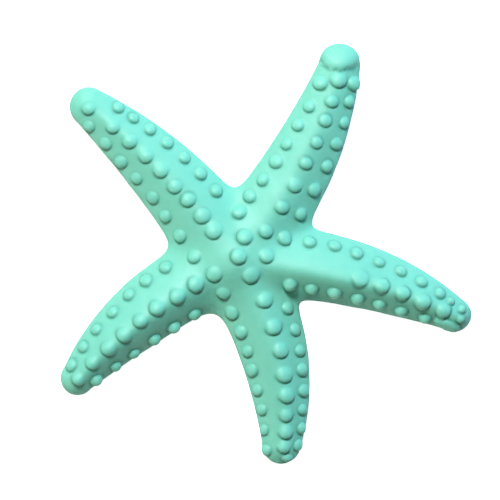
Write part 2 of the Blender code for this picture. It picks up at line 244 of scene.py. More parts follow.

# An arm leaves the middle at its heading and turns through its bend, both in degrees anticlockwise. Its
# ridge is rounded by root_ridge at the root and by ridge further out, and its tilt moves it to the left.
# A row's bumps run from its first to its last share of the arm's length, and its crowding moves the ones
# between them outwards. Near and far move them to the left at the arm's root and tip, as shares of its
# half width. Early and late are shares of their height, size is one of their radius, and ringed is how
# deep the groove round them is and how dark the shade painted into it. Lumps are single domes: a smooth
# cap at the upper right tip with three broad ones below it, a long one low on the right arm, and some
# small ones.
ARMS = (
    Arm(123.3, 21.5, *UPPER_LEFT, ROOT_RIDGE, CRISP_RIDGE, GENTLE_FLANK, 0.0,
        crest=Row(0.163, 0.785, 8, -0.05),
        left=Row(0.115, 0.865, 8, 0.025),
        right=Row(0.285, 0.82, 7, 0.05),
        lumps=(Lump(0.915, 0.08, TIP_LUMP_RADIUS, 1.15, TIP_LUMP_HEIGHT),)),
    Arm(48.0, 28.7, *UPPER_RIGHT, ROOT_RIDGE, SOFT_RIDGE, GENTLE_FLANK, 0.0,
        crest=Row(0.18, 0.77, 7, 0.085, -0.13, -0.08, size=0.87),
        left=Row(0.17, 0.717, 7, -0.015, 0.0, -0.13),
        right=Row(0.2, 0.787, 7, 0.105, 0.08, -0.08, size=1.03),
        lumps=(Lump(0.975, 0.25, CAP_RADIUS, 1.15, CAP_HEIGHT),
               Lump(0.86, -0.08, CREST_RADIUS, 1.1, CREST_HEIGHT),
               Lump(0.862, -0.8, SIDE_RADIUS, 1.1, SIDE_HEIGHT),
               Lump(0.822, 0.58, SIDE_RADIUS, 1.1, SIDE_HEIGHT))),
    Arm(1.0, -32.5, *RIGHT, CRISP_ROOT_RIDGE, CRISP_RIDGE, STEEP_FLANK, -0.18,
        crest=Row(0.51, 0.878, 5, 0.0, 0.05, -0.09, early=0.3, ringed=1.0, size=1.1),
        left=Row(0.29, 0.835, 7, 0.035, 0.05, -0.18),
        right=Row(0.235, 0.825, 7, -0.02, 0.14, -0.03, early=1.6, late=1.5, size=1.05),
        lumps=(Lump(0.128, 0.18, SIDE_RADIUS, 1.0, TIP_LUMP_HEIGHT),
               Lump(0.92, -0.66, LONG_LUMP_RADIUS, 0.52, LONG_LUMP_HEIGHT),
               Lump(0.885, 0.52, SMALL_LUMP_RADIUS, 1.0, TIP_LUMP_HEIGHT),
               Lump(0.94, 0.5, SMALL_LUMP_RADIUS, 1.2, TIP_LUMP_HEIGHT),
               Lump(0.955, -0.02, SMALL_LUMP_RADIUS, 1.1, TIP_LUMP_HEIGHT))),
    Arm(-56, -42, *LOWER, ROOT_RIDGE, SOFT_RIDGE, MEDIUM_FLANK, 0.0,
        crest=Row(0.09, 0.912, 9, 0.3, 0.22, 0.12),
        left=Row(0.3, 0.905, 8, 0.07, 0.0, 0.1),
        right=Row(0.11, 0.94, 9, 0.03, 0.02, -0.1),
        lumps=(Lump(0.965, 0.35, SMALL_LUMP_RADIUS, 1.3, TIP_LUMP_HEIGHT),)),
    Arm(-156.8, 31, *LOWER_LEFT, MEDIUM_ROOT_RIDGE, CRISP_RIDGE, STEEP_FLANK, 0.12,
        crest=Row(0.105, 0.915, 9, 0.03, 0.13, 0.0, early=0.9, ringed=0.8),
        left=Row(0.285, 0.87, 6, 0.03, 0.22, 0.05, early=1.5, late=1.4),
        right=Row(0.28, 0.885, 7, 0.03),
        lumps=()),
)


# Plan and relief

def arm_radius(arm):
    """Radius of the arm's centreline, negative where the arm bends clockwise."""
    return arm.length / math.radians(arm.bend)


def place(arm, along, across):
    """Plan position at a distance along the arm and to the left of its centreline."""
    heading = math.radians(arm.heading)
    radius = arm_radius(arm)
    turned = heading + along / radius
    x = radius * (math.sin(turned) - math.sin(heading)) - across * math.sin(turned)
    y = radius * (math.cos(heading) - math.cos(turned)) + across * math.cos(turned)
    return x, y


def half_width(arm, along):
    """Half width of the arm: a smooth curve through its root, its middle and its tip."""
    share = along / (arm.length - arm.tip)
    root = arm.root * (1 - share) * (1 - 2 * share)
    middle = arm.middle * 4 * share * (1 - share)
    tip = arm.tip * share * (2 * share - 1)
    return root + middle + tip


def arm_shape(arm, x, y):
    """How far a place lies inside one arm's outline, zero on it, and how steep the arm's flank is there."""
    heading = math.radians(arm.heading)
    radius = arm_radius(arm)
    side = math.copysign(1.0, radius)
    ahead = x * math.cos(heading) + y * math.sin(heading)
    aside = y * math.cos(heading) - x * math.sin(heading)
    along = radius * np.arctan2(side * ahead, side * (radius - aside))
    along = np.clip(along, 0.0, arm.length - arm.tip)
    centre_ahead = radius * np.sin(along / radius)
    centre_aside = radius * (1 - np.cos(along / radius))
    turned = along / radius
    across = (aside - centre_aside) * np.cos(turned) - (ahead - centre_ahead) * np.sin(turned)
    beyond = (aside - centre_aside) * np.sin(turned) + (ahead - centre_ahead) * np.cos(turned)
    share = along / (arm.length - arm.tip)
    width = half_width(arm, along)
    moved = arm.tilt * 4 * share * (1 - share) * width
    off_ridge = across - moved
    room = width - np.sign(off_ridge) * moved
    off_centre = np.hypot(off_ridge * width / room, beyond)
    past_root = 1 - np.exp(-(along / (ROOT_SHARE * arm.length)) ** 2)
    ridge = arm.root_ridge + (arm.ridge - arm.root_ridge) * past_root
    inside = np.hypot(width, ridge) - np.hypot(off_centre, ridge)
    return inside, 1 + (arm.steepness - 1) * past_root


def shape(x, y):
    """How far a place lies inside the whole outline, with fillets where arms meet, and how steep it is."""
    shapes = np.array([arm_shape(arm, x, y) for arm in ARMS])
    depths = shapes[:, 0]
    deepest = depths.max(axis=0)
    weights = np.exp((depths - deepest) / ARMPIT_FILLET)
    total = weights.sum(axis=0)
    steepness = (weights * shapes[:, 1]).sum(axis=0) / total
    return deepest + ARMPIT_FILLET * np.log(total) - SKIN_SINK, steepness


def depth(x, y):
    """How far a place lies inside the whole outline."""
    return shape(x, y)[0]


def rise(inside):
    """Height gained over the edge at a depth inside the outline; the flank eases towards the ridge."""
    inside = np.maximum(inside, 0.0)
    eased = ((inside + SHOULDER) / FLANK_REACH) ** FLANK_POWER
    return FLANK_RISE * (eased - (SHOULDER / FLANK_REACH) ** FLANK_POWER)


def outer_height(x, y):
    """Height of the upper skin without its bumps."""
    inside, steepness = shape(x, y)
    return RIM_HEIGHT + steepness * rise(inside)


def inner_height(x, y):
    """Height of the inner skin without its dimples."""
    inside, steepness = shape(x, y)
    return RIM_HEIGHT - CROWN_EXTRA + steepness * rise(inside - WALL)


def on_skin(height, plan):
    """Points of a skin over a set of plan places."""
    return np.column_stack([plan, height(plan[:, 0], plan[:, 1])])


def slopes(height, x, y):
    """Slopes of a function of the plan, along X and along Y."""
    slope_x = (height(x + SLOPE_PROBE, y) - height(x - SLOPE_PROBE, y)) / (2 * SLOPE_PROBE)
    slope_y = (height(x, y + SLOPE_PROBE) - height(x, y - SLOPE_PROBE)) / (2 * SLOPE_PROBE)
    return np.column_stack([slope_x, slope_y])


def inward(plan):
    """Unit plan directions that lead straight into the shape."""
    direction = slopes(depth, plan[:, 0], plan[:, 1])
    return direction / np.linalg.norm(direction, axis=1, keepdims=True)


# Bumps and dimples

def row_places(arm, row):
    """Distances along the arm of one row's bumps."""
    places = []
    for step in range(row.count):
        share = step / (row.count - 1)
        spread = row.first + (row.last - row.first) * share + row.crowding * share * (1 - share)
        places.append(arm.length * spread)
    return places


def make_bump(spot, heading, radius, widening, height, ringed):
    """A bump's foot on the upper skin and its axes: out of the skin, along a heading and across it."""
    plan = np.array([spot])
    foot = on_skin(outer_height, plan)[0]
    slope = slopes(outer_height, plan[:, 0], plan[:, 1])[0]
    axis = np.array([-slope[0], -slope[1], 1.0])
    axis /= np.linalg.norm(axis)
    sideways = np.cross(axis, (math.cos(heading), math.sin(heading), 0.0))
    sideways /= np.linalg.norm(sideways)
    return Bump(foot, axis, np.cross(sideways, axis), sideways, radius, widening, height, ringed)


def arm_bump(arm, along, side, radius, widening, height, ringed):
    """A bump on an arm, at a share of its half width to the left of the ridge."""
    across = side * half_width(arm, min(along, arm.length - arm.tip))
    heading = math.radians(arm.heading) + along / arm_radius(arm)
    return make_bump(place(arm, along, across), heading, radius, widening, height, ringed)


def make_bumps():
    """The bumps in the middle, then each arm's crest row, its two side rows and its lumps.

    No two bumps in a row are quite alike in their place, size and breadth.
    """
    draw = random.Random(DOME_SEED)
    bumps = [make_bump(spot, MIDDLE_FACING, MIDDLE_RADIUS, 1.0, MIDDLE_HEIGHT, 1.0)
             for spot in MIDDLE_PLACES]
    for arm in ARMS:
        rows = (
            (arm.crest, 0.0, CREST_RADIUS, CREST_WIDENING, CREST_HEIGHT),
            (arm.left, SIDE_PLACE, SIDE_RADIUS, 1.0, SIDE_HEIGHT),
            (arm.right, -SIDE_PLACE, SIDE_RADIUS, 1.0, SIDE_HEIGHT),
        )
        for row, side, radius, widening, height in rows:
            for along in row_places(arm, row):
                size = 1 - TIP_SHRINK * along / arm.length + draw.uniform(-SIZE_SPREAD, SIZE_SPREAD)
                size *= row.size
                place_across = side + row.near + (row.far - row.near) * along / arm.length
                place_across += draw.uniform(-SIDE_SPREAD, SIDE_SPREAD)
                breadth = widening + draw.uniform(-BREADTH_SPREAD, BREADTH_SPREAD)
                along += draw.uniform(-PLACE_SPREAD, PLACE_SPREAD)
                past_early = min(max((along / arm.length - EARLY_END) / EARLY_FADE, 0.0), 1.0)
                tall = row.early + (row.late - row.early) * past_early
                tall *= 1 + draw.uniform(-HEIGHT_SPREAD, 0.0)
                ringed = row.ringed * draw.uniform(RING_FAINTEST, 1.0)
                ringed *= row.early + (1 - row.early) * past_early
                ringed = max(ringed, draw.random() ** RING_RARITY)
                bumps.append(arm_bump(arm, along, place_across, size * radius, breadth,
                                      tall * size * height, ringed))
        for lump in arm.lumps:
            along = arm.length * lump.along
            bumps.append(arm_bump(arm, along, lump.side, lump.radius, lump.widening,
                                  lump.height, LUMP_RINGED))
    return bumps


def make_dimples(bumps):
    """The bumps' counterparts in the inner skin: narrower, and not as deep."""
    dimples = []
    for bump in bumps:
        foot = on_skin(inner_height, bump.foot[None, :2])[0]
        radius = bump.radius - DIMPLE_INSET
        dimples.append(bump._replace(foot=foot, radius=radius, height=bump.height - DIMPLE_FLOOR))
    return dimples


def ring_share(points, bump):
    """How far points lie from a bump's middle, as a share of its radius."""
    offset = points - bump.foot
    return np.hypot(offset @ bump.along, offset @ bump.across / bump.widening) / bump.radius


# Mesh of the plain shell

def ring_places(height, bump, rings, sides):
    """Plan places of rings round a bump, found by sliding them over the skin to their radii."""
    turns = np.arange(sides) * 2 * math.pi / sides
    share = np.array(rings)[:, None]
    along = (share * bump.radius * np.cos(turns)).ravel()
    across = (share * bump.radius * bump.widening * np.sin(turns)).ravel()
    target = bump.foot + along[:, None] * bump.along + across[:, None] * bump.across
    plan = target[:, :2].copy()
    for _ in range(SLIDES):
        error = on_skin(height, plan) - target
        error -= (error @ bump.axis)[:, None] * bump.axis
        plan -= error[:, :2]
    return plan


def owned_places(height, bumps, rings, sides):
    """Ring places and middles of all bumps, less those that lie in a neighbour's dome."""
    kept = []
    for bump in bumps:
        plan = np.vstack([bump.foot[None, :2], ring_places(height, bump, rings, sides)])
        points = on_skin(height, plan)
        own = ring_share(points, bump)
        nearest = np.full(len(plan), np.inf)
        for other in bumps:
            if other is not bump and np.linalg.norm(other.foot - bump.foot) < NEIGHBOUR_REACH:
                nearest = np.minimum(nearest, ring_share(points, other))
        kept.append(plan[(nearest > own) | (nearest > 1)])
    return np.vstack(kept)


def to_outline(plan):
    """Plan places moved onto the outline."""
    for _ in range(OUTLINE_SLIDES):
        plan = plan - depth(plan[:, 0], plan[:, 1])[:, None] * inward(plan)
    return plan


def walk_outline():
    """Evenly spaced places round the outline, anticlockwise, starting at the first arm's tip."""
    start = to_outline(np.array([place(ARMS[0], ARMS[0].length, 0.0)]))
    trail = [start[0]]
    while len(trail) < FEWEST_STEPS or np.linalg.norm(trail[-1] - trail[0]) > OUTLINE_STEP:
        here = trail[-1][None, :]
        into = inward(here)[0]
        trail.append(to_outline(here + OUTLINE_STEP * np.array([[into[1], -into[0]]]))[0])
    trail = np.array(trail + trail[:1])
    steps = np.linalg.norm(np.diff(trail, axis=0), axis=1)
    travelled = np.concatenate([[0.0], np.cumsum(steps)])
    count = round(travelled[-1] / OUTLINE_STEP)
    stations = np.arange(count) * travelled[-1] / count
    return to_outline(np.stack([np.interp(stations, travelled, trail[:, axis]) for axis in (0, 1)], axis=1))


def field_places(outline, step):
    """A triangular field of places over the box of the outline, and places down each ridge."""
    low = outline.min(axis=0)
    high = outline.max(axis=0)
    row_step = step * math.sqrt(3) / 2
    places = []
    for row in range(int((high[1] - low[1]) / row_step) + 1):
        for column in range(int((high[0] - low[0]) / step) + 1):
            x = low[0] + (column + 0.5 * (row % 2)) * step
            places.append((x, low[1] + row * row_step))
    ridges = [place(arm, along, 0.0) for arm in ARMS for along in np.arange(step, arm.length, step)]
    return np.array(places), np.array(ridges)


def clear_of(places, height, bumps, rings):
    """Places of a field that lie outside all the bumps' rings."""
    points = on_skin(height, places)
    clear = np.ones(len(places), bool)
    for bump in bumps:
        clear &= ring_share(points, bump) > rings[-1] + 0.5 * (rings[-1] - rings[-2])
    return places[clear]


def sheet(outline, height, bumps, sides, rings, step):
    """Corners and triangles of one plain skin, and where its outline's corners are among them."""
    edge = depth(outline[:, 0], outline[:, 1]).mean()
    field, ridges = field_places(outline, step)
    clear_field = clear_of(field, height, bumps, rings)
    clear_ridges = clear_of(ridges, height, bumps, rings)
    inner = np.vstack([owned_places(height, bumps, rings, sides), clear_ridges, clear_field])
    inner = inner[depth(inner[:, 0], inner[:, 1]) > edge + EDGE_GAP]
    plan = np.vstack([outline, inner])
    loop = list(range(len(outline)))
    flat = delaunay_2d_cdt([Vector(spot) for spot in plan], [], [loop], 1, MERGE_GAP)
    corners = on_skin(height, np.array([tuple(spot) for spot in flat[0]]))
    order = {source: corner for corner, sources in enumerate(flat[3]) for source in sources}
    return corners, flat[2], [order[corner] for corner in loop]


def add_band(mesh, upper, lower):
    """A band of faces between two closed runs of corners."""
    count = len(upper)
    for corner in range(count):
        following = (corner + 1) % count
        mesh.faces.new([upper[corner], upper[following], lower[following], lower[corner]])


def add_runs(mesh, first, outline, profile, skin, marked):
    """Bands from a run of corners along a profile of insets and heights; gives the last run.

    The first few runs are marked as part of the outer skin, so that the domes at its edge bulge over it.
    """
    into = inward(outline)
    run = first
    for number, (inset, height) in enumerate(profile):
        plan = outline + inset * into
        following = [mesh.verts.new((x, y, height)) for x, y in plan]
        for corner in following:
            corner[skin] = int(number < marked)
        add_band(mesh, run, following)
        run = following
    return run


def rounded_foot(start, turn):
    """Insets and heights down a wall and round its lower edge; turn is +1 inwards, -1 outwards."""
    wall = [(start, RIM_ROUND + (RIM_HEIGHT - CROWN_EXTRA - RIM_ROUND) * (1 - step / WALL_LOOPS))
            for step in range(1, WALL_LOOPS + 1)]
    angles = [math.pi / 2 * step / ROUND_LOOPS for step in range(1, ROUND_LOOPS + 1)]
    foot = [(start + turn * RIM_ROUND * (1 - math.cos(angle)), RIM_ROUND * (1 - math.sin(angle)))
            for angle in angles]
    return wall + foot


def make_plain_shell(bumps, dimples):
    """Both plain skins and the rim between them as one closed mesh, with the skins marked."""
    outline = walk_outline()
    opening = outline + WALL * inward(outline)
    upper = sheet(outline, outer_height, bumps, BUMP_SIDES, BUMP_RINGS, SKIN_STEP)
    inner = sheet(opening, inner_height, dimples, DIMPLE_SIDES, DIMPLE_RINGS, INNER_STEP)

    mesh = bmesh.new()
    skin = mesh.verts.layers.int.new("skin")
    runs = []
    for (corners, triangles, edge), mark in ((upper, 1), (inner, 2)):
        added = [mesh.verts.new(corner) for corner in corners]
        for corner in added:
            corner[skin] = mark
        for triangle in triangles:
            mesh.faces.new([added[corner] for corner in triangle])
        runs.append([added[corner] for corner in edge])
    outer_foot = add_runs(mesh, runs[0], outline, rounded_foot(0.0, 1), skin, WALL_LOOPS - 1)
    inner_foot = add_runs(mesh, runs[1], outline, rounded_foot(WALL, -1), skin, 0)
    add_band(mesh, outer_foot, inner_foot)
    bmesh.ops.recalc_face_normals(mesh, faces=mesh.faces)
    return mesh


# Node trees

def plug(tree, socket, value):
    """Feeds a socket from another socket, or sets it."""
    if isinstance(value, bpy.types.NodeSocket):
        tree.links.new(value, socket)
    else:
        socket.default_value = value


def add(tree, kind, *feeds, **settings):
    """A node with its settings, its inputs fed in order, None leaving one alone."""
    node = tree.nodes.new(kind)
    for name, value in settings.items():
        setattr(node, name, value)
    for socket, value in zip(node.inputs, feeds):
        if value is not None:
            plug(tree, socket, value)
    return node


def maths(tree, operation, *feeds):
    """The result of a sum on numbers."""
    return add(tree, "ShaderNodeMath", *feeds, operation=operation).outputs[0]


def vectors(tree, operation, *feeds):
    """The result of a sum on vectors: a vector, or a number for a dot product."""
    node = add(tree, "ShaderNodeVectorMath", *feeds, operation=operation)
    return node.outputs["Value" if operation == "DOT_PRODUCT" else "Vector"]


def scaled(tree, vector, factor):
    """A vector times a number."""
    node = add(tree, "ShaderNodeVectorMath", vector, operation="SCALE")
    plug(tree, node.inputs["Scale"], factor)
    return node.outputs["Vector"]


def squared(tree, value):
    """A number times itself."""
    return maths(tree, "MULTIPLY", value, value)


def noise(tree, place_on, waves, seed):
    """Soft noise about 0.5, with its waves counted per metre."""
    node = add(tree, "ShaderNodeTexNoise", place_on, seed, waves, NOISE_DETAIL, noise_dimensions="4D")
    return node.outputs[0]


def ranged(tree, value, low, high, to_low=0.0, to_high=1.0):
    """A value spread from one range to another and held inside it."""
    return add(tree, "ShaderNodeMapRange", value, low, high, to_low, to_high).outputs[0]


def mixed(tree, share, first, second):
    """Two colours mixed by a share."""
    node = tree.nodes.new("ShaderNodeMix")
    node.data_type = "RGBA"
    inputs = [socket for socket in node.inputs if socket.enabled]
    for socket, value in zip(inputs, (share, first, second)):
        plug(tree, socket, value)
    return next(socket for socket in node.outputs if socket.enabled)


def grained(tree, grain, place_on, sizes, height):
    """A normal bent by the fine grain group, with its waves, grains and grain share."""
    node = tree.nodes.new("ShaderNodeGroup")
    node.node_tree = grain
    for socket, value in zip(node.inputs, (place_on, *sizes)):
        plug(tree, socket, value)
    bump = add(tree, "ShaderNodeBump", 1.0, height)
    plug(tree, bump.inputs["Height"], node.outputs["Height"])
    return bump.outputs["Normal"]


def attribute(tree, name, kind):
    """A field read from the mesh by name."""
    return add(tree, "GeometryNodeInputNamedAttribute", name, data_type=kind).outputs["Attribute"]


def store(tree, geometry, skin, name, value, kind):
    """The geometry with a field stored on one skin's corners."""
    node = add(tree, "GeometryNodeStoreNamedAttribute", geometry, skin, name, value, data_type=kind)
    return node.outputs["Geometry"]


def make_raise_tree():
    """The tree that raises the domes of one skin: its zone takes one turn for each dome."""
    tree = bpy.data.node_groups.new("raise_domes", "GeometryNodeTree")
    sockets = (
        ("Shell", "NodeSocketGeometry"), ("Domes", "NodeSocketObject"), ("Skin", "NodeSocketInt"),
        ("Saddle fill", "NodeSocketFloat"), ("Foot softness", "NodeSocketFloat"),
        ("Gentle share", "NodeSocketFloat"), ("Fullness per metre", "NodeSocketFloat"),
        ("Lean", "NodeSocketFloat"), ("Groove depth", "NodeSocketFloat"),
        ("Dome unevenness", "NodeSocketFloat"), ("Skin unevenness", "NodeSocketFloat"),
        ("Seed", "NodeSocketFloat"), ("Plastic", "NodeSocketMaterial"),
    )
    for name, kind in sockets:
        tree.interface.new_socket(name, in_out="INPUT", socket_type=kind)
    tree.interface.new_socket("Shell", in_out="OUTPUT", socket_type="NodeSocketGeometry")
    given = add(tree, "NodeGroupInput").outputs
    position = add(tree, "GeometryNodeInputPosition").outputs[0]
    domes = add(tree, "GeometryNodeObjectInfo", given["Domes"]).outputs["Geometry"]
    count = add(tree, "GeometryNodeAttributeDomainSize", domes, component="MESH").outputs["Point Count"]

    skin = maths(tree, "COMPARE", attribute(tree, "skin", "INT"), given["Skin"], 0.5)
    shell = store(tree, given["Shell"], skin, "push", (0.0, 0.0, 0.0), "FLOAT_VECTOR")
    shell = store(tree, shell, skin, "lift", 0.0, "FLOAT")
    shell = store(tree, shell, skin, "groove_and_painted_shade", 0.0, "FLOAT")
    wobble = maths(tree, "SUBTRACT", noise(tree, position, DOME_WAVE, given["Seed"]), 0.5)
    wobble = maths(tree, "MULTIPLY", wobble, given["Dome unevenness"])
    shell = store(tree, shell, skin, "wobble", wobble, "FLOAT")
    enter = tree.nodes.new("GeometryNodeRepeatInput")
    leave = tree.nodes.new("GeometryNodeRepeatOutput")
    enter.pair_with_output(leave)
    plug(tree, enter.inputs["Iterations"], count)
    plug(tree, enter.inputs["Geometry"], shell)

    def of_dome(name, kind="FLOAT_VECTOR"):
        """One size or direction of the dome whose turn it is."""
        value = position if name == "foot" else attribute(tree, name, kind)
        turn = enter.outputs["Iteration"]
        return add(tree, "GeometryNodeSampleIndex", domes, value, turn, data_type=kind).outputs[0]

    axis = of_dome("axis")
    offset = vectors(tree, "SUBTRACT", position, of_dome("foot"))
    along = vectors(tree, "DOT_PRODUCT", offset, of_dome("along"))
    across = vectors(tree, "DOT_PRODUCT", offset, of_dome("across"))
    across = maths(tree, "DIVIDE", across, of_dome("widening", "FLOAT"))
    square = maths(tree, "ADD", squared(tree, along), squared(tree, across))
    ring = maths(tree, "DIVIDE", maths(tree, "SQRT", square), of_dome("radius", "FLOAT"))
    wobble = maths(tree, "MULTIPLY", attribute(tree, "wobble", "FLOAT"), of_dome("radius", "FLOAT"))
    ring = maths(tree, "MULTIPLY", ring, maths(tree, "ADD", wobble, 1.0))
    past_edge = maths(tree, "MULTIPLY", maths(tree, "SUBTRACT", ring, 1.0), of_dome("radius", "FLOAT"))

    # A dome's section is a flat-topped ellipse with a soft toe, fuller on a wide dome, and filled where
    # the skin falls away under it. On level skin its uphill side is a gentle slope instead, and it leans
    fullness = maths(tree, "MULTIPLY", of_dome("radius", "FLOAT"), given["Fullness per metre"])
    under = maths(tree, "SUBTRACT", 1.0, maths(tree, "POWER", ring, fullness))
    downhill = vectors(tree, "DOT_PRODUCT", offset, STEEP_SIDE)
    ahead = maths(tree, "DIVIDE", downhill, of_dome("radius", "FLOAT"))
    level = ranged(tree, vectors(tree, "DOT_PRODUCT", axis, (0.0, 0.0, 1.0)), LEVEL_FROM, LEVEL_TO)
    softness = given["Foot softness"]
    spread = maths(tree, "ADD", squared(tree, under), squared(tree, softness))
    smooth = maths(tree, "ADD", under, maths(tree, "SQRT", spread))
    section = maths(tree, "SQRT", maths(tree, "MULTIPLY", smooth, 0.5))
    crisp = maths(tree, "MAXIMUM", maths(tree, "SUBTRACT", section, softness), 0.0)
    gentle = maths(tree, "SUBTRACT", 1.0, squared(tree, maths(tree, "DIVIDE", ring, GENTLE_REACH)))
    gentle = squared(tree, maths(tree, "MAXIMUM", gentle, 0.0))
    uphill = ranged(tree, ahead, GENTLE_FROM, GENTLE_TO, 0.0, given["Gentle share"])
    uphill = maths(tree, "MULTIPLY", uphill, level)
    gain = maths(tree, "MULTIPLY", maths(tree, "SUBTRACT", gentle, crisp), uphill)
    dome = maths(tree, "ADD", crisp, gain)
    drop = maths(tree, "MINIMUM", vectors(tree, "DOT_PRODUCT", offset, axis), 0.0)
    filling = maths(tree, "MULTIPLY", drop, given["Saddle fill"])
    lift = maths(tree, "MULTIPLY", dome, maths(tree, "SUBTRACT", of_dome("height", "FLOAT"), filling))
    lean = maths(tree, "MULTIPLY", maths(tree, "MULTIPLY", ahead, given["Lean"]), level)
    lean = maths(tree, "ADD", 1.0, lean)
    lift = maths(tree, "MULTIPLY", lift, lean)

    # The groove lies along the dome's edge, sunk a little and darkened with painted shade, and its strength
    # changes round the dome
    from_groove = maths(tree, "DIVIDE", past_edge, GROOVE_WIDTH)
    groove_and_painted_shade = maths(tree, "EXPONENT", maths(tree, "MULTIPLY", squared(tree, from_groove), -1.0))
    tipward = maths(tree, "DIVIDE", along, of_dome("radius", "FLOAT"))
    facing_tip = ranged(tree, tipward, RING_BACK, RING_FRONT, RING_BACK_SHARE, 1.0)
    ringed = maths(tree, "MULTIPLY", of_dome("ringed", "FLOAT"), facing_tip)
    ringed = maths(tree, "MAXIMUM", ringed, ranged(tree, ahead, FOOT_FROM, FOOT_TO))
    ringed = maths(tree, "MAXIMUM", ringed, ranged(tree, level, 0.0, 1.0, STEEP_RINGED, 0.0))
    groove_and_painted_shade = maths(tree, "MULTIPLY", groove_and_painted_shade, ringed)

    best = attribute(tree, "lift", "FLOAT")
    higher = maths(tree, "GREATER_THAN", lift, best)
    push = add(tree, "GeometryNodeSwitch", higher, attribute(tree, "push", "FLOAT_VECTOR"),
               scaled(tree, axis, lift), input_type="VECTOR").outputs[0]
    deepest = maths(tree, "MAXIMUM", groove_and_painted_shade, attribute(tree, "groove_and_painted_shade", "FLOAT"))
    shell = store(tree, enter.outputs["Geometry"], skin, "push", push, "FLOAT_VECTOR")
    shell = store(tree, shell, skin, "groove_and_painted_shade", deepest, "FLOAT")
    shell = store(tree, shell, skin, "lift", maths(tree, "MAXIMUM", lift, best), "FLOAT")
    plug(tree, leave.inputs["Geometry"], shell)

    # The grooves and their painted shade fade up the domes, the skin sinks into them, and all of it is
    # slightly uneven
    shell = leave.outputs["Geometry"]
    lift = maths(tree, "DIVIDE", attribute(tree, "lift", "FLOAT"), LIFT_TOE)
    bare = maths(tree, "SUBTRACT", 1.0, maths(tree, "MINIMUM", lift, 1.0))
    groove_and_painted_shade = maths(tree, "MULTIPLY", attribute(tree, "groove_and_painted_shade", "FLOAT"), bare)
    shell = store(tree, shell, skin, "groove_and_painted_shade", groove_and_painted_shade, "FLOAT")
    sunk = maths(tree, "MULTIPLY", attribute(tree, "groove_and_painted_shade", "FLOAT"), given["Groove depth"])
    uneven = maths(tree, "SUBTRACT", noise(tree, position, SKIN_WAVE, given["Seed"]), 0.5)
    uneven = maths(tree, "MULTIPLY", uneven, given["Skin unevenness"])
    normal = add(tree, "GeometryNodeInputNormal").outputs[0]
    settle = scaled(tree, normal, maths(tree, "SUBTRACT", uneven, sunk))
    moved = vectors(tree, "ADD", attribute(tree, "push", "FLOAT_VECTOR"), settle)
    shell = add(tree, "GeometryNodeSetPosition", shell, skin, None, moved).outputs[0]
    shell = add(tree, "GeometryNodeRealizeInstances", shell).outputs[0]
    shell = add(tree, "GeometryNodeSetMaterial", shell, None, given["Plastic"]).outputs[0]
    add(tree, "NodeGroupOutput", shell)
    return tree


def make_dome_feet(name, domes):
    """A cloud of the domes' feet, with their directions, sizes and shares of groove and painted shade, for
    the raising tree.
    """
    mesh = bpy.data.meshes.new(name)
    mesh.from_pydata([dome.foot for dome in domes], [], [])
    for field in ("axis", "along", "across"):
        layer = mesh.attributes.new(field, "FLOAT_VECTOR", "POINT")
        layer.data.foreach_set("vector", np.array([getattr(dome, field) for dome in domes]).ravel())
    for field in ("radius", "widening", "height", "ringed"):
        layer = mesh.attributes.new(field, "FLOAT", "POINT")
        layer.data.foreach_set("value", [getattr(dome, field) for dome in domes])
    feet = bpy.data.objects.new(name, mesh)
    bpy.context.scene.collection.objects.link(feet)
    return feet


def raise_domes(shell, tree, feet, plastic, sizes):
    """The raising tree put on the shell, with its inputs set."""
    modifier = shell.modifiers.new(feet.name, "NODES")
    modifier.node_group = tree
    values = {"Domes": feet, "Plastic": plastic, **sizes}
    for socket in tree.interface.items_tree:
        if socket.in_out == "INPUT" and socket.name in values:
            modifier[socket.identifier] = values[socket.name]


def make_shell(plastic):
    """The finished shell as one plain mesh, and how far its plan's middle stands from the origin."""
    bumps = make_bumps()
    dimples = make_dimples(bumps)
    plain = make_plain_shell(bumps, dimples)
    mesh = bpy.data.meshes.new("plain_shell")
    plain.to_mesh(mesh)
    plain.free()
    shell = bpy.data.objects.new("plain_shell", mesh)
    bpy.context.scene.collection.objects.link(shell)

    tree = make_raise_tree()
    outer_feet = make_dome_feet("bump_feet", bumps)
    inner_feet = make_dome_feet("dimple_feet", dimples)
    raise_domes(shell, tree, outer_feet, plastic, OUTER_FINISH)
    raise_domes(shell, tree, inner_feet, plastic, INNER_FINISH)
    bpy.context.view_layer.update()
    graph = bpy.context.evaluated_depsgraph_get()
    finished = bpy.data.meshes.new_from_object(shell.evaluated_get(graph), depsgraph=graph)
    for spent in (shell, outer_feet, inner_feet):
        bpy.data.objects.remove(spent)
    bpy.data.node_groups.remove(tree)
    shift = settle_in_box(finished)
    finished.shade_smooth()
    piece = bpy.data.objects.new("moulded_starfish", finished)
    bpy.context.scene.collection.objects.link(piece)
    return piece, shift


def settle_in_box(mesh):
    """The shell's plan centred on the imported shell's box; gives how far it moved."""
    low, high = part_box("starfish_shell")
    places = np.empty(3 * len(mesh.vertices))
    mesh.vertices.foreach_get("co", places)
    places = places.reshape(-1, 3)
    middle = (places.min(axis=0) + places.max(axis=0)) / 2
    shift = (np.array(low + high) / 2 - middle)[:2]
    places[:, :2] += shift
    mesh.vertices.foreach_set("co", places.ravel())
    mesh.update()
    return Vector((*shift, 0.0))


# Materials

def new_material(name):
    """A material with its tree, its shader, and the place on the object that its patterns follow."""
    material = bpy.data.materials.new(name)
    material.use_nodes = True
    tree = material.node_tree
    place_on = tree.nodes.new("ShaderNodeTexCoord").outputs["Object"]
    return material, tree, tree.nodes["Principled BSDF"], place_on


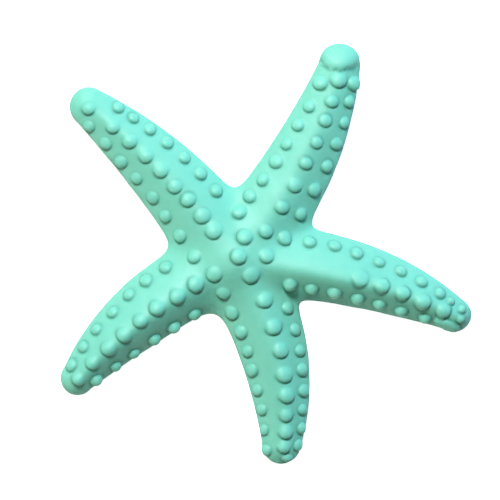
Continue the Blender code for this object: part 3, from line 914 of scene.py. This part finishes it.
def make_grain_group():
    """Shared fine grain: a height that changes over the surface, from soft waves and fine grain."""
    group = bpy.data.node_groups.new("fine_grain", "ShaderNodeTree")
    for name, kind in (("Place", "NodeSocketVector"), ("Waves per metre", "NodeSocketFloat"),
                       ("Grains per metre", "NodeSocketFloat"), ("Grain share", "NodeSocketFloat")):
        group.interface.new_socket(name, in_out="INPUT", socket_type=kind)
    group.interface.new_socket("Height", in_out="OUTPUT", socket_type="NodeSocketFloat")
    given = add(group, "NodeGroupInput").outputs
    waves = noise(group, given["Place"], given["Waves per metre"], 3.0)
    grains = noise(group, given["Place"], given["Grains per metre"], 7.0)
    fine = maths(group, "MULTIPLY", grains, given["Grain share"])
    add(group, "NodeGroupOutput", maths(group, "ADD", waves, fine))
    return group


def make_plastic(grain):
    """Satin mint plastic: clouded colour, specks, painted highlight on tall bumps, painted shade in the
    grooves and fine grain.
    """
    material, tree, shader, spot = new_material("satin_mint_plastic")
    clouds = noise(tree, spot, CLOUDS, 1.0)
    small_clouds = noise(tree, spot, SMALL_CLOUDS, 2.0)
    clouded = mixed(tree, ranged(tree, clouds, *NOISE_RANGE), MINT_DEEP, MINT)
    clouded = mixed(tree, ranged(tree, small_clouds, *PALE_RANGE, 0.0, PALE_SHARE), clouded, MINT_PALE)

    # Painted highlight: the tallest bumps' tops are painted paler and whiter, in patches
    lift = add(tree, "ShaderNodeAttribute", attribute_name="lift").outputs["Fac"]
    painted_highlight = ranged(tree, lift, PAINTED_HIGHLIGHT_FROM, PAINTED_HIGHLIGHT_TO)
    highlight_patches = ranged(tree, small_clouds, *WIDE_NOISE_RANGE, PAINTED_HIGHLIGHT_LEAST, 1.0)
    painted_highlight = maths(tree, "MULTIPLY", painted_highlight, highlight_patches)
    clouded = mixed(tree, maths(tree, "MULTIPLY", painted_highlight, PAINTED_HIGHLIGHT_SHARE), clouded, MINT_PAINTED_HIGHLIGHT)

    # Painted shade: the grooves at the domes' feet are painted dark, most on the steep lower side and on
    # steep skin
    groove_and_painted_shade = add(tree, "ShaderNodeAttribute", attribute_name="groove_and_painted_shade").outputs["Fac"]
    clouded = mixed(tree, maths(tree, "MULTIPLY", groove_and_painted_shade, PAINTED_SHADE_SHARE), clouded, MINT_SHADED)

    cells = add(tree, "ShaderNodeTexVoronoi", spot, None, SPECKS)
    speck = ranged(tree, cells.outputs["Distance"], SPECK_CORE, SPECK_EDGE, 1.0, 0.0)
    chosen = maths(tree, "GREATER_THAN", noise(tree, spot, SPECK_PATCHES, 5.0), SPECK_RARITY)
    speck = maths(tree, "MULTIPLY", maths(tree, "MULTIPLY", speck, chosen), SPECK_SHARE)
    plug(tree, shader.inputs["Base Color"], mixed(tree, speck, clouded, SPECK))

    satin = ranged(tree, small_clouds, *WIDE_NOISE_RANGE, SATIN_LOW, SATIN_HIGH)
    sheen = maths(tree, "MULTIPLY", painted_highlight, PAINTED_HIGHLIGHT_GLOSS)
    plug(tree, shader.inputs["Roughness"], maths(tree, "SUBTRACT", satin, sheen))
    plug(tree, shader.inputs["Normal"], grained(tree, grain, spot, PLASTIC_GRAIN, GRAIN_HEIGHT))
    shader.inputs["Specular IOR Level"].default_value = PLASTIC_GLOSS
    shader.inputs["Subsurface Weight"].default_value = SCATTER_SHARE
    shader.inputs["Subsurface Radius"].default_value = SCATTER_COLOUR
    shader.inputs["Subsurface Scale"].default_value = SCATTER_DEPTH
    return material


def make_paper(grain):
    """White matt paper for the table."""
    material, tree, shader, spot = new_material("white_paper")
    clouds = noise(tree, spot, PAPER_CLOUDS, 4.0)
    tint = mixed(tree, ranged(tree, clouds, *NOISE_RANGE), PAPER_LOW, PAPER)
    plug(tree, shader.inputs["Base Color"], tint)
    shader.inputs["Roughness"].default_value = PAPER_ROUGHNESS
    shader.inputs["Specular IOR Level"].default_value = PAPER_GLOSS
    plug(tree, shader.inputs["Normal"], grained(tree, grain, spot, PAPER_GRAIN, PAPER_GRAIN_HEIGHT))
    seen = add(tree, "ShaderNodeLightPath").outputs["Is Camera Ray"]
    shader.inputs["Emission Color"].default_value = PAPER
    plug(tree, shader.inputs["Emission Strength"], maths(tree, "MULTIPLY", seen, PAPER_GLOW))
    return material


# Studio

def make_floor(material):
    """The table's top, just under the rim."""
    mesh = bpy.data.meshes.new("table_top")
    half = FLOOR_SIZE / 2
    corners = [(-half, -half), (half, -half), (half, half), (-half, half)]
    mesh.from_pydata([(x, y, -FLOOR_GAP) for x, y in corners], [], [(0, 1, 2, 3)])
    mesh.materials.append(material)
    floor = bpy.data.objects.new("table_top", mesh)
    bpy.context.scene.collection.objects.link(floor)


def aim(thing, turned, lifted, distance, target, roll=0.0):
    """Puts a lamp or camera at a heading and a height, facing the target with Y up; angles in degrees."""
    heading = math.radians(turned)
    height = math.radians(lifted)
    level = math.cos(height)
    away = Vector((level * math.cos(heading), level * math.sin(heading), math.sin(height)))
    right = Vector((0.0, 1.0, 0.0)).cross(away).normalized()
    turn = Matrix((right, away.cross(right), away)).transposed()
    thing.location = target + distance * away
    thing.rotation_euler = (turn @ Matrix.Rotation(math.radians(roll), 3, "Z")).to_euler()


def make_lights():
    """A broad key lamp from the top of the picture, a cool and a warm low fill, and an even sky."""
    for name, turned, lifted, distance, size, power, tint in LAMPS:
        lamp = bpy.data.lights.new(name, "AREA")
        lamp.shape = "DISK"
        lamp.size = size
        lamp.energy = power
        lamp.color = tint
        holder = bpy.data.objects.new(name, lamp)
        bpy.context.scene.collection.objects.link(holder)
        aim(holder, turned, lifted, distance, Vector((0.0, 0.0, 0.0)))
    world = bpy.data.worlds.new("studio")
    world.use_nodes = True
    sky = world.node_tree.nodes["Background"]
    sky.inputs["Color"].default_value = SKY_COLOUR
    sky.inputs["Strength"].default_value = SKY_STRENGTH
    bpy.context.scene.world = world
    bpy.context.scene.view_settings.view_transform = "Standard"


def make_camera(centre):
    """The photograph's view: nearly straight down, from slightly to the upper left."""
    lens = bpy.data.cameras.new("camera")
    lens.lens = CAMERA_LENS
    lens.sensor_width = CAMERA_SENSOR
    lens.clip_end = 2 * CAMERA_DISTANCE
    camera = bpy.data.objects.new("camera", lens)
    bpy.context.scene.collection.objects.link(camera)
    aim(camera, CAMERA_TURNED, CAMERA_LIFTED, CAMERA_DISTANCE, centre + CAMERA_AIM, CAMERA_ROLL)
    bpy.context.scene.camera = camera


grain = make_grain_group()
starfish, middle = make_shell(make_plastic(grain))
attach(starfish, "root")
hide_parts("starfish_shell")
make_floor(make_paper(grain))
make_lights()
make_camera(middle)
